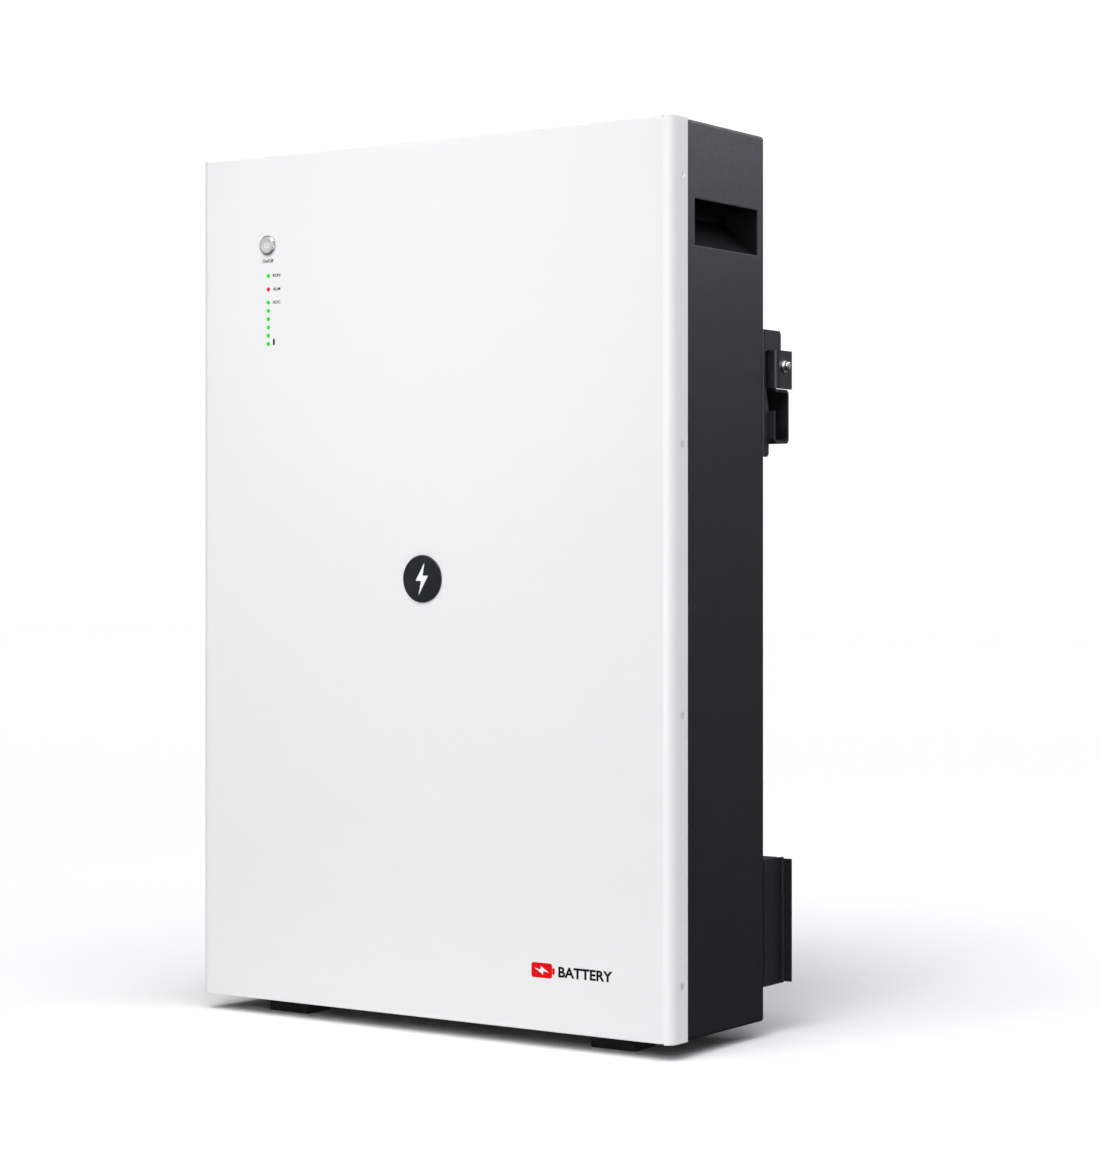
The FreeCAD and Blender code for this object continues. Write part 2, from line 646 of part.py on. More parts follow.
def bracket_end(side):
    """End plate with its wall flange, which is a little shorter than the plate."""
    middle = EAR_HALF - PLATE / 2
    wall = WALL_Y - PLATE / 2
    plan = [(side * BRACKET_FLANGE_X, wall), (side * middle, wall), (side * middle, DEPTH)]
    end = bent_sheet("xy", plan, PLATE, 1.5, BRACKET_Z)
    x = sorted((side * (EAR_HALF + 0.1), side * (BRACKET_FLANGE_X + 2)))
    relief = 1.5
    for low, high in ((BRACKET_Z[0] - 1, BRACKET_Z[0] + relief), (BRACKET_Z[1] - relief, BRACKET_Z[1] + 1)):
        end = end.cut(block(x, (WALL_Y - 5, WALL_Y + 1), (low, high)))
    return end


# ---- Battery modules ----

def row_base(row):
    return ROW_BASE + row * ROW_PITCH


def cell_x(index):
    return (index - (CELLS_PER_ROW - 1) / 2) * CELL_PITCH


def cells_row(row):
    """Eight prismatic cells side by side, with a small gap of film between them."""
    cells = []
    for index in range(CELLS_PER_ROW):
        half = CELL[0] / 2 - 0.3
        x = (cell_x(index) - half, cell_x(index) + half)
        body = block(x, (CELL_Y, CELL_Y + CELL[1]), (row_base(row), row_base(row) + CELL[2]))
        cells.append(round_edges(body, 2.5, upright))
    return group(cells)


def post_places():
    """X, Y and base height of every cell terminal."""
    middle = CELL_Y + CELL[1] / 2
    for row in range(ROWS):
        for index in range(CELLS_PER_ROW):
            for side in (-1, 1):
                yield cell_x(index), middle + side * POST_OFFSET, row_base(row) + CELL[2]


def cell_posts():
    return group(rod(7, place, (0, 0, 1), POST_RISE) for place in post_places())


def cell_bolts():
    """Hexagon nuts on the terminals, above the busbars."""
    lift = POST_RISE + BAR
    return group(hexagon(10, (x, y, z + lift), (0, 0, 1), 5) for x, y, z in post_places())


def cell_busbars():
    """Copper bars that join the cells two in parallel, in series along each row."""
    middle = CELL_Y + CELL[1] / 2
    spans = {-1: ((0, 3), (4, 7)), 1: ((0, 1), (2, 5), (6, 7))}
    bars = []
    for row in range(ROWS):
        base = row_base(row) + CELL[2] + POST_RISE
        for side, runs in spans.items():
            y = middle + side * POST_OFFSET
            for first, last in runs:
                x = (cell_x(first) - 20, cell_x(last) + 20)
                bars.append(block(x, (y - 11, y + 11), (base, base + BAR)))
    return group(bars)


def link_level(row):
    return row_base(row) + CELL[2] + POST_RISE + BAR + BAR / 2


def row_links():
    """Copper strips from row to row, the two risers to the electronics and the socket bars."""
    links = []
    for row in range(ROWS - 1):
        side = 1 if row % 2 == 0 else -1
        ends = [(side * 183, link_level(row)), (side * LINK_X, link_level(row))]
        ends += [(side * LINK_X, link_level(row + 1)), (side * 183, link_level(row + 1))]
        links.append(bent_sheet("xz", ends, BAR, 3, LINK_Y))
    negative = [(-183, link_level(0)), (NEGATIVE_RISER_X, link_level(0)), (NEGATIVE_RISER_X, 590)]
    links.append(bent_sheet("xz", negative + [(-230, 590)], BAR, 3, LINK_Y))
    level = link_level(ROWS - 1)
    positive = [(-117, level), (POSITIVE_RISER_X, level), (POSITIVE_RISER_X, 650)]
    links.append(bent_sheet("xz", positive, BAR, 3, LINK_Y))
    x = (-238.0, -236.0)
    bar = block(x, (POSITIVE_Y[0] - 8, POSITIVE_Y[1] + 8), (SOCKET_Z - 10, SOCKET_Z + 10))
    links.append(bar.fuse(block(x, (60, 76), (SOCKET_Z, BREAKER_Z[0]))).removeSplitter())
    links.append(block(x, (NEGATIVE_Y[0] - 8, NEGATIVE_Y[1] + 8), (SOCKET_Z - 10, SOCKET_Z + 10)))
    return group(links)


def cell_tray(row):
    """Shelf under one row, with side flanges welded to the box and slots for the links."""
    base = row_base(row)
    half = INSIDE_HALF - 0.1
    tray = block((-half, half), (14, 176), (base - 2, base))
    for side in (-1, 1):
        x = sorted((side * half, side * (half - 2)))
        tray = tray.fuse(block(x, (30, 176), (base - 2, base + 26)))
    if row:
        for x in (-LINK_X, LINK_X, NEGATIVE_RISER_X):
            slot = block((x - 5, x + 5), (LINK_Y[0] - 4, LINK_Y[1] + 4), (base - 5, base + 5))
            tray = tray.cut(slot)
    return tray.removeSplitter()


def module_end_plates():
    edge = CELLS_PER_ROW * CELL_PITCH / 2
    y = (CELL_Y, CELL_Y + CELL[1])
    plates = []
    for row in range(ROWS):
        z = (row_base(row), row_base(row) + CELL[2] - 2)
        for side in (-1, 1):
            plates.append(block(sorted((side * edge, side * (edge + 4))), y, z))
    return group(plates)


def module_straps():
    """Steel bands that squeeze each row between its end plates."""
    outer = CELLS_PER_ROW * CELL_PITCH / 2 + 4
    straps = []
    for row in range(ROWS):
        z = (row_base(row) + 75, row_base(row) + 95)
        for face, turn in ((CELL_Y - 0.2, -1), (CELL_Y + CELL[1] + 0.2, 1)):
            wrap = block((-outer - 1.5, outer + 1.5), sorted((face, face + turn * 1.5)), z)
            for side in (-1, 1):
                x = sorted((side * outer, side * (outer + 1.5)))
                wrap = wrap.fuse(block(x, sorted((face, face - turn * 25)), z))
            straps.append(wrap.removeSplitter())
    return group(straps)


def busbar_covers():
    """Clear sheets above the terminals, notched for the positive riser."""
    sheets = []
    for row in range(ROWS):
        base = row_base(row) + CELL[2]
        sheet = block((-180, 180), (14, 168), (base + 12.5, base + 14))
        sheet = sheet.cut(block((-112, -96), (LINK_Y[0] - 4, 170), (base, base + 20)))
        sheets.append(sheet)
    return group(sheets)


# ---- Electronics ----

def plate_corners():
    return [(x, height) for x in (-220, 0, 225) for height in (615, 875)]


def bms_corners():
    return [(x, z) for x in (BMS_X[0] + 8, BMS_X[1] - 8) for z in (BMS_Z[0] + 8, BMS_Z[1] - 8)]


def electronics_plate():
    plate = block((-PLATE_HALF, PLATE_HALF), (PLATE_Y, PLATE_Y + 2), (600, 885))
    places = plate_corners() + bms_corners()
    return plate.cut(group(rod(2.1, (x, PLATE_Y - 1, z), (0, 1, 0), 5) for x, z in places))


def standoffs():
    """Spacers that hold the plate off the back and the management board off the plate."""
    pieces = []
    for x, z in plate_corners():
        spacer = hexagon(8, (x, PLATE_Y + 2, z), (0, 1, 0), INSIDE_REAR - PLATE_Y - 2)
        screw = rod(2.0, (x, PLATE_Y, z), (0, 1, 0), 4)
        head = rod(3.6, (x, PLATE_Y - 2.5, z), (0, 1, 0), 2.5)
        pieces.append(fuse([spacer, screw, head]))
    for x, z in bms_corners():
        spacer = hexagon(7, (x, BMS_Y + BOARD, z), (0, 1, 0), PLATE_Y - BMS_Y - BOARD)
        head = rod(3.0, (x, BMS_Y - 2, z), (0, 1, 0), 2)
        pieces.append(fuse([spacer, head, rod(1.5, (x, BMS_Y - 1, z), (0, 1, 0), 4)]))
    return group(pieces)


def bms_board():
    board = block(BMS_X, (BMS_Y, BMS_Y + BOARD), BMS_Z)
    return board.cut(group(rod(1.6, (x, BMS_Y - 1, z), (0, 1, 0), 4) for x, z in bms_corners()))


def bms_components():
    """Switching transistors, capacitors, relays, connectors and the controller."""
    parts = []
    for index in range(14):
        x = BMS_X[0] + 24 + index * 17
        parts.append(block((x, x + 10), (BMS_Y - 4.5, BMS_Y), (655, 670)))
    for index in range(4):
        parts.append(rod(9, (BMS_X[0] + 30 + index * 24, BMS_Y, 745), (0, -1, 0), 28))
    for index in range(3):
        x = BMS_X[0] + 150 + index * 40
        parts.append(block((x, x + 30), (BMS_Y - 20, BMS_Y), (736, 760)))
    for index in range(5):
        x = BMS_X[0] + 20 + index * 48
        parts.append(block((x, x + 34), (BMS_Y - 11, BMS_Y), (842, 852)))
    parts.append(block((60, 84), (BMS_Y - 3, BMS_Y), (795, 819)))
    return group(parts)


def bms_heatsink():
    """Finned bar clamped over the switching transistors."""
    x0, x1 = BMS_X[0] + 18, BMS_X[1] - 18
    base = BMS_Y - 4.5
    pieces = [block((x0, x1), (base - 4, base), (652, 712))]
    count = 20
    step = (x1 - x0 - 2) / (count - 1)
    for index in range(count):
        x = x0 + index * step
        pieces.append(block((x, x + 2), (base - 28, base - 3), (652, 712)))
    return fuse(pieces)


def main_fuse():
    """Bolt-down fuse on its base, between the positive riser and the breaker cable."""
    base = block((-205, -92), (153, PLATE_Y), (652, 682))
    barrel = rod(11, (-178, 138, 667), (1, 0, 0), 60)
    blades = block((-200, -95), (133, 153), (665, 669)).cut(rod(11, (-178, 138, 667), (1, 0, 0), 60))
    lands = [block((-200, -182), (134, 153), (652, 665)), block((-114, -95), (134, 153), (652, 665))]
    return group([base, fuse([barrel, blades] + lands)])


def current_shunt():
    """Two brass blocks joined by resistance strips."""
    blocks = [block((-230, -205), (130, 154), (578, 602)), block((-155, -130), (130, 154), (578, 602))]
    strips = [block((-206, -154), (y, y + 2.5), (582, 598)) for y in (135, 141, 147)]
    return fuse(blocks + strips)


# ---- Connection recess ----

def connection_pan():
    """Welded pan behind the opening in the left side; its floor carries the connections."""
    grow = SHEET
    outer_y = (PAN_Y[0] - grow, PAN_Y[1] + grow)
    outer_z = (PAN_Z[0] - grow, PAN_Z[1] + grow)
    pan = block((-INSIDE_HALF, PAN_FLOOR_X + SHEET), outer_y, outer_z)
    flange = block((-INSIDE_HALF, -INSIDE_HALF + SHEET), (33, 177), (582, 763))
    pan = pan.fuse(flange).cut(block((-INSIDE_HALF - 1, PAN_FLOOR_X), PAN_Y, PAN_Z))
    holes = []
    for y in POSITIVE_Y + NEGATIVE_Y:
        holes.append(rod(10.1, (PAN_FLOOR_X - 1, y, SOCKET_Z), (1, 0, 0), 4))
    x = (PAN_FLOOR_X - 1, PAN_FLOOR_X + 3)
    holes.append(block(x, (BREAKER_Y[0] + 0.4, BREAKER_Y[1] - 0.4), (688.9, 733.1)))
    ports = (PORT_Y - 0.1, PORT_Y + PORT_COUNT * PORT_PITCH + 0.1)
    holes.append(block(x, ports, (PORT_Z - 0.1, PORT_Z + 14.1)))
    holes.append(rod(2.55, (PAN_FLOOR_X - 1, RESET_Y, RESET_Z), (1, 0, 0), 4))
    holes.append(rod(3.2, (PAN_FLOOR_X - 1, STUD_Y, STUD_Z), (1, 0, 0), 4))
    return pan.cut(group(holes)).removeSplitter()


def breaker_body():
    """Two-pole breaker: body behind the pan's floor, nose through it."""
    back = block((-262.9, -205), BREAKER_Y, BREAKER_Z)
    nose = block((-272, -262), (BREAKER_Y[0] + 0.5, BREAKER_Y[1] - 0.5), (689, 733))
    slot = block((-273, -253), (59.7, 76.3), (LEVER_Z - 11, LEVER_Z + 11))
    hole = rod(1.5, (LEVER_X, 54, LEVER_Z), (0, 1, 0), 28)
    return back.fuse(nose).cut(slot).cut(hole).removeSplitter()


def breaker_lever():
    """Toggle on the breaker's pin, tilted up in its ON position."""
    y = (60.0, 76.0)
    hub = rod(7.5, (LEVER_X, y[0], LEVER_Z), (0, 1, 0), y[1] - y[0])
    tab = block((LEVER_X - 19, LEVER_X), y, (LEVER_Z - 2.6, LEVER_Z + 2.6))
    tab = round_edges(tab, 1.5, lambda a, b: max(a.x, b.x) < LEVER_X - 18 and abs(a.y - b.y) > 1)
    tab.rotate(V(LEVER_X, 0, LEVER_Z), V(0, 1, 0), LEVER_TILT)
    lever = hub.fuse(tab).cut(rod(1.55, (LEVER_X, 50, LEVER_Z), (0, 1, 0), 40))
    return lever.removeSplitter()


def breaker_pin():
    return rod(1.5, (LEVER_X, 54, LEVER_Z), (0, 1, 0), 28)


def socket_housing(y):
    """Insulating receptacle with a square flange and a round nose."""
    flange = block((-267.5, PAN_FLOOR_X), (y - 14, y + 14), (SOCKET_Z - 14, SOCKET_Z + 14))
    flange = round_edges(flange, 3, lambda a, b: abs(a.x - b.x) > 1)
    nose = rod(11, (-286, y, SOCKET_Z), (1, 0, 0), 19)
    rear = rod(10, (-268, y, SOCKET_Z), (1, 0, 0), 24)
    bore = rod(6, (-290, y, SOCKET_Z), (1, 0, 0), 60)
    return fuse([flange, nose, rear]).cut(bore)


def socket_contact(y):
    """Plated sleeve with a round bore for the plug's pin and a solid tail."""
    sleeve = rod(6, (-283, y, SOCKET_Z), (1, 0, 0), 45)
    return sleeve.cut(rod(4, (-284, y, SOCKET_Z), (1, 0, 0), 29))


def data_ports():
    """Row of modular data sockets in one housing."""
    y1 = PORT_Y + PORT_COUNT * PORT_PITCH
    body = block((-265.5, -247), (PORT_Y, y1), (PORT_Z, PORT_Z + 14))
    for index in range(PORT_COUNT):
        middle = PORT_Y + (index + 0.5) * PORT_PITCH
        body = body.cut(block((-266, -252), (middle - 5.9, middle + 5.9), (PORT_Z + 3, PORT_Z + 10.8)))
        body = body.cut(block((-266, -252), (middle - 3.1, middle + 3.1), (PORT_Z + 1.5, PORT_Z + 3.5)))
    return body


def reset_button():
    """Small push button with a collar behind the pan's floor."""
    stem = rod(2.5, (-266.5, RESET_Y, RESET_Z), (1, 0, 0), 7)
    return stem.fuse(rod(3.6, (-262.5, RESET_Y, RESET_Z), (1, 0, 0), 1)).removeSplitter()


def ground_stud():
    """M6 earth stud with its two nuts; it is slightly thinner where they grip it."""
    free_end = rod(3, (-284, STUD_Y, STUD_Z), (1, 0, 0), 14.5)
    stud = free_end.fuse(rod(2.8, (-284, STUD_Y, STUD_Z), (1, 0, 0), 28)).removeSplitter()
    nuts = []
    for start in (PAN_FLOOR_X - 5, PAN_FLOOR_X + SHEET):
        nut = hexagon(10, (start, STUD_Y, STUD_Z), (1, 0, 0), 5)
        nuts.append(nut.cut(rod(2.8, (start, STUD_Y, STUD_Z), (1, 0, 0), 5)))
    return group([stud] + nuts)


def vent_valve():
    """Pressure-relief plug low on the left side."""
    place = (-BOX_HALF, 110, 60)
    flange = rod(14, place, (-1, 0, 0), 4)
    rim = [edge for edge in flange.Edges if edge.Closed and edge.BoundBox.XMax < -BOX_HALF - 3]
    flange = flange.makeFillet(1.2, rim)
    stem = rod(8, place, (1, 0, 0), 12)
    nut = hexagon(22, (-INSIDE_HALF, 110, 60), (1, 0, 0), 5).cut(rod(8, place, (1, 0, 0), 12))
    return group([flange.fuse(stem).removeSplitter(), nut])


# ---- Write every piece ----

def main():
    os.makedirs("parts", exist_ok=True)
    places = foot_places()
    save("enclosure", enclosure())
    save("front_cover", front_cover())
    save("cover_gasket", cover_gasket())
    save("cover_screws", both_sides(cover_screw))
    save("cover_nuts", both_sides(cover_nut))
    save("badge_disc", badge_disc())
    save("switch_housing", switch_housing())
    save("switch_nut", switch_nut())
    save("switch_spring", switch_spring())
    save("power_button", power_button())
    save("led_lenses_green", group(led_lens(z) for z in [LED_STATUS_Z[0], LED_STATUS_Z[2]] + LED_CHARGE_Z))
    save("led_lens_red", led_lens(LED_STATUS_Z[1]))
    save("led_board", led_board())
    save("board_studs", board_studs())
    save("feet_front", group(foot(x, y) for x, y in places[:2]))
    save("feet_rear", group(foot(x, y) for x, y in places[2:]))
    save("foot_screws", group(foot_screw(x, y) for x, y in places))
    bolts = rear_bolts()
    ear_bolts = 2 * len(EAR_BOLT_HEIGHTS)
    save("ear_bolts", group(rear_bolt(x, z) for x, z in bolts[:ear_bolts]))
    save("lower_bracket_bolts", group(rear_bolt(x, z) for x, z in bolts[ear_bolts:]))
    save("weld_nuts", weld_nuts())
    save("wall_rail", wall_rail())
    save("lower_bracket", lower_bracket())
    save("lock_screws", group(lock_screw(side) for side in (-1, 1)))
    save("lock_washers", group(lock_washer(side) for side in (-1, 1)))
    for side, word in ((-1, "left"), (1, "right")):
        save("handle_cup_" + word, handle_cup(side))
        save("ear_" + word, ear(side))
    for row in range(ROWS):
        save("cells_row_" + str(row + 1), cells_row(row))
    save("cell_posts", cell_posts())
    save("cell_bolts", cell_bolts())
    save("cell_busbars", cell_busbars())
    save("row_links", row_links())
    save("cell_trays", group(cell_tray(row) for row in range(ROWS)))
    save("module_end_plates", module_end_plates())
    save("module_straps", module_straps())
    save("busbar_covers", busbar_covers())
    save("electronics_plate", electronics_plate())
    save("standoffs", standoffs())
    save("bms_board", bms_board())
    save("bms_components", bms_components())
    save("bms_heatsink", bms_heatsink())
    save("main_fuse", main_fuse())
    save("current_shunt", current_shunt())
    save("connection_pan", connection_pan())
    save("breaker_body", breaker_body())
    save("breaker_lever", breaker_lever())
    save("breaker_pin", breaker_pin())
    save("positive_sockets", group(socket_housing(y) for y in POSITIVE_Y))
    save("negative_sockets", group(socket_housing(y) for y in NEGATIVE_Y))
    save("socket_contacts", group(socket_contact(y) for y in POSITIVE_Y + NEGATIVE_Y))
    save("data_ports", data_ports())
    save("reset_button", reset_button())
    save("ground_stud", ground_stud())
    save("vent_valve", vent_valve())
    fuse_cable = [(-191, 144, 669), (-191, 144, 790), (-225, 68, 790), (-225, 68, BREAKER_Z[1])]
    save("positive_cable", cable(fuse_cable, 5, 20))
    shunt_cable = [(-142, 142, 602), (-142, 142, 628), (-236, 142, 628)]
    save("negative_cable", cable(shunt_cable, 5, 14))


main()
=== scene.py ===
import json
import math

import bmesh
import bpy
from mathutils import Matrix, Vector


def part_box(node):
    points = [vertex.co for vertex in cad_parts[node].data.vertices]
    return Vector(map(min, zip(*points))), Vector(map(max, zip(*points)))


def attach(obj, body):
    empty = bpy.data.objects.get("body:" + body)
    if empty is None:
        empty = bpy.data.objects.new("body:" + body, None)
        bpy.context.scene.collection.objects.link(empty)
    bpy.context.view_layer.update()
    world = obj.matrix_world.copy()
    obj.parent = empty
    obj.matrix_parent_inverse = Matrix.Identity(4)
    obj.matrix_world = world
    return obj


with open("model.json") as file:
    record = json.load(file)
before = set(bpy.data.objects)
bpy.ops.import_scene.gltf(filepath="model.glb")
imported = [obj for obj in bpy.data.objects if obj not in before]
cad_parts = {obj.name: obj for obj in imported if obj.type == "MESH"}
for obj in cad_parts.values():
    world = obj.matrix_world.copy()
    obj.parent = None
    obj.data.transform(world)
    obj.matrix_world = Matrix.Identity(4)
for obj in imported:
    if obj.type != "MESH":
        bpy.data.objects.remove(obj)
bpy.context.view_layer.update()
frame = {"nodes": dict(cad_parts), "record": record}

MM = 0.001
nodes = frame["nodes"]
scene = bpy.context.scene

# ---- Places worked out from the frame ----
cover_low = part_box("front_cover")[0]
badge_low, badge_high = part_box("badge_disc")
button_low, button_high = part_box("power_button")
red_low, red_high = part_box("led_lens_red")
green_low, green_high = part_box("led_lenses_green")
pan_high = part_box("connection_pan")[1]

FRONT = cover_low.y
COVER_BASE = cover_low.z


def middle(low, high):
    """Middle of a box, across and upwards."""
    return (low.x + high.x) / 2, (low.z + high.z) / 2


# ---- Camera ----

SENSOR_WIDTH = 36.0  # in mm, as is the focal length
FOCAL_LENGTH = 88.05
LENS_SHIFT = -0.01972
CAMERA_RIGHT = 1.7543
CAMERA_AHEAD = 2.3342  # from the cover's face
CAMERA_UP = 0.4703  # from the cover's lower edge
CAMERA_TURN = math.radians(34.368)


def make_camera():
    """Level camera to the right of the front, at the height of the cabinet's middle."""
    data = bpy.data.cameras.new("camera")
    data.sensor_width = SENSOR_WIDTH
    data.lens = FOCAL_LENGTH
    data.shift_y = LENS_SHIFT
    data.dof.use_dof = False
    data.clip_end = 60.0
    camera = bpy.data.objects.new("camera", data)
    scene.collection.objects.link(camera)
    camera.location = (CAMERA_RIGHT, FRONT - CAMERA_AHEAD, COVER_BASE + CAMERA_UP)
    camera.rotation_euler = (math.radians(90.0), 0.0, CAMERA_TURN)
    scene.camera = camera


# ---- Light and floor ----

BACKDROP_STRENGTH = 1.05
FILL_COLOUR = (0.97, 0.96, 1.0, 1)
FILL_OVERHEAD = 0.418
FILL_FROM_RIGHT = 0.105

FLOOR_HALF_WIDTH = 14.0
GLOW_START, GLOW_END = 2.0, 6.0  # distances from the object between which the floor brightens
GLOW_NEAR, GLOW_FAR = 0.01, 0.05

WHITE_LIGHT = (1, 1, 1)
COOL_LIGHT = (0.97, 0.95, 1.08)

# Suns: degrees above the floor, degrees towards the right, strength and degrees across
SUNS = {
    "key": (50.5, 0, 1.67, 42),
    "key_right": (61, 45, 1.15, 50),
}

# Softboxes: place, what they aim at, size, watts, colour, and whether they light gloss only
SOFTBOXES = {
    "rear_right": ((1.9, 2.1, 1.9), (0.3, 0, 0.9), (1.6, 1.4), 12.6, COOL_LIGHT, False),
    "rear_low": ((2.2, 2.9, 0.45), (0.3, 0, 0.4), (1.0, 0.8), 0.45, WHITE_LIGHT, True),
    "rim": ((1.2, 2.6, 2.35), (0.3, 0, 0.9), (1.3, 0.6), 6, WHITE_LIGHT, True),
    "front_glow": ((-2.5, -3.1, 1.35), (-0.2, 0, 0.8), (2.4, 1.2), 8, WHITE_LIGHT, True),
    "roll_glow": ((0.65, -2.65, 0.45), (0.3, -0.1, 0.4), (0.45, 0.9), 34, WHITE_LIGHT, True),
    "right_glow": ((2.6, -2.4, 1.3), (0.3, 0, 0.6), (1.0, 1.6), 25, WHITE_LIGHT, True),
}

# The pieces that show the glow along the cover's rounded right edge
ROLL_GLOW_PIECES = ("front_cover", "switch_housing", "cover_screws")

SPOT_PLACE = (0.3, -2.6, 2.3)
SPOT_AIM_UP = 0.85
SPOT_WATTS = 90
SPOT_CONE = math.radians(20)
SPOT_RADIUS = 0.3


def area_light(name, place, target, size, power, colour, gloss_only):
    """Rectangular softbox; one for gloss only shows in shiny surfaces and lights nothing else."""
    data = bpy.data.lights.new(name, "AREA")
    data.shape = "RECTANGLE"
    data.size, data.size_y = size
    data.energy = power
    data.color = colour
    light = bpy.data.objects.new(name, data)
    scene.collection.objects.link(light)
    light.location = place
    aim = Vector(target) - Vector(place)
    light.rotation_euler = aim.to_track_quat("-Z", "Y").to_euler()
    light.visible_camera = False
    light.visible_diffuse = not gloss_only
    return light


def make_world():
    """White to the camera; as a light, brighter overhead and to the right."""
    world = bpy.data.worlds.new("studio")
    scene.world = world
    world.use_nodes = True
    tree = world.node_tree
    tree.nodes.clear()
    output = tree.nodes.new("ShaderNodeOutputWorld")
    mix = tree.nodes.new("ShaderNodeMixShader")
    path = tree.nodes.new("ShaderNodeLightPath")
    seen = tree.nodes.new("ShaderNodeBackground")
    fill = tree.nodes.new("ShaderNodeBackground")
    direction = tree.nodes.new("ShaderNodeTexCoord")
    split = tree.nodes.new("ShaderNodeSeparateXYZ")
    overhead = tree.nodes.new("ShaderNodeMath")
    sideways = tree.nodes.new("ShaderNodeMath")
    total = tree.nodes.new("ShaderNodeMath")
    seen.inputs["Color"].default_value = (1, 1, 1, 1)
    seen.inputs["Strength"].default_value = BACKDROP_STRENGTH
    fill.inputs["Color"].default_value = FILL_COLOUR
    for share, strength in ((overhead, FILL_OVERHEAD), (sideways, FILL_FROM_RIGHT)):
        share.operation = "MULTIPLY"
        share.use_clamp = True
        share.inputs[1].default_value = strength
    tree.links.new(direction.outputs["Generated"], split.inputs["Vector"])
    tree.links.new(split.outputs["Z"], overhead.inputs[0])
    tree.links.new(split.outputs["X"], sideways.inputs[0])
    tree.links.new(overhead.outputs["Value"], total.inputs[0])
    tree.links.new(sideways.outputs["Value"], total.inputs[1])
    tree.links.new(total.outputs["Value"], fill.inputs["Strength"])
    tree.links.new(path.outputs["Is Camera Ray"], mix.inputs["Fac"])
    tree.links.new(fill.outputs["Background"], mix.inputs[1])
    tree.links.new(seen.outputs["Background"], mix.inputs[2])
    tree.links.new(mix.outputs["Shader"], output.inputs["Surface"])


def make_floor():
    """Plain pale floor that brightens a little far away, so that it melts into the backdrop."""
    mesh = bpy.data.meshes.new("floor")
    half = FLOOR_HALF_WIDTH
    corners = [(-half, -half, 0), (half, -half, 0), (half, half, 0), (-half, half, 0)]
    mesh.from_pydata(corners, [], [(0, 1, 2, 3)])
    floor = bpy.data.objects.new("floor", mesh)
    scene.collection.objects.link(floor)
    paint = bpy.data.materials.new("floor_paint")
    paint.use_nodes = True
    shader = paint.node_tree.nodes["Principled BSDF"]
    shader.inputs["Base Color"].default_value = (0.965, 0.965, 0.97, 1)
    shader.inputs["Roughness"].default_value = 0.9
    shader.inputs["Specular IOR Level"].default_value = 0.1
    shader.inputs["Emission Color"].default_value = (1, 1, 1, 1)
    tree = paint.node_tree
    place = tree.nodes.new("ShaderNodeTexCoord")
    reach = tree.nodes.new("ShaderNodeVectorMath")
    reach.operation = "LENGTH"
    lift = tree.nodes.new("ShaderNodeMapRange")
    lift.inputs["From Min"].default_value = GLOW_START
    lift.inputs["From Max"].default_value = GLOW_END
    lift.inputs["To Min"].default_value = GLOW_NEAR
    lift.inputs["To Max"].default_value = GLOW_FAR
    tree.links.new(place.outputs["Object"], reach.inputs[0])
    tree.links.new(reach.outputs["Value"], lift.inputs["Value"])
    tree.links.new(lift.outputs["Result"], shader.inputs["Emission Strength"])
    mesh.materials.append(paint)
    floor.visible_glossy = False


def soft_sun(name, elevation, turn, energy, angle):
    """Sun in degrees above the floor, turned from straight ahead towards the right."""
    data = bpy.data.lights.new(name, "SUN")
    data.energy = energy
    data.angle = math.radians(angle)
    sun = bpy.data.objects.new(name, data)
    scene.collection.objects.link(sun)
    rise, swing = math.radians(elevation), math.radians(turn)
    source = Vector((
        math.cos(rise) * math.sin(swing),
        -math.cos(rise) * math.cos(swing),
        math.sin(rise),
    ))
    sun.rotation_euler = (-source).to_track_quat("-Z", "Y").to_euler()


def upper_front_spot():
    """Soft spot on the upper part of the cover."""
    data = bpy.data.lights.new("upper_front", "SPOT")
    data.energy = SPOT_WATTS
    data.spot_size = SPOT_CONE
    data.spot_blend = 1.0
    data.shadow_soft_size = SPOT_RADIUS
    spot = bpy.data.objects.new("upper_front", data)
    scene.collection.objects.link(spot)
    spot.location = SPOT_PLACE
    aim = Vector((0.0, FRONT, SPOT_AIM_UP)) - spot.location
    spot.rotation_euler = aim.to_track_quat("-Z", "Y").to_euler()


def make_lights():
    """Two broad suns, a cool panel behind the right side, five glints and a soft spot."""
    for name, settings in SUNS.items():
        soft_sun(name, *settings)
    boxes = {name: area_light(name, *settings) for name, settings in SOFTBOXES.items()}
    lit = bpy.data.collections.new("roll_glow_receivers")
    for name in ROLL_GLOW_PIECES:
        lit.objects.link(nodes[name])
    boxes["roll_glow"].light_linking.receiver_collection = lit
    upper_front_spot()


# ---- Materials ----

# Most of a noise pattern's values lie between these two
NOISE_LOW, NOISE_HIGH = 0.3, 0.7

# Scales of the noise patterns, per metre
COAT_GRAIN, COAT_PEEL = 1100, 160
MOULD_GRAIN, MOULD_CLOUD = 1800, 60
METAL_MARKS, METAL_CLOUD = 900, 70
SATIN_GRAIN, SATIN_CLOUD = 2600, 90
LAMP_GLOW = 900
LACQUER_HAZE = 40
BOARD_TRACKS = 260
SHEET_CLOUD = 50

LED_GLOW = 0.33
INK_SPECULAR = 0.1


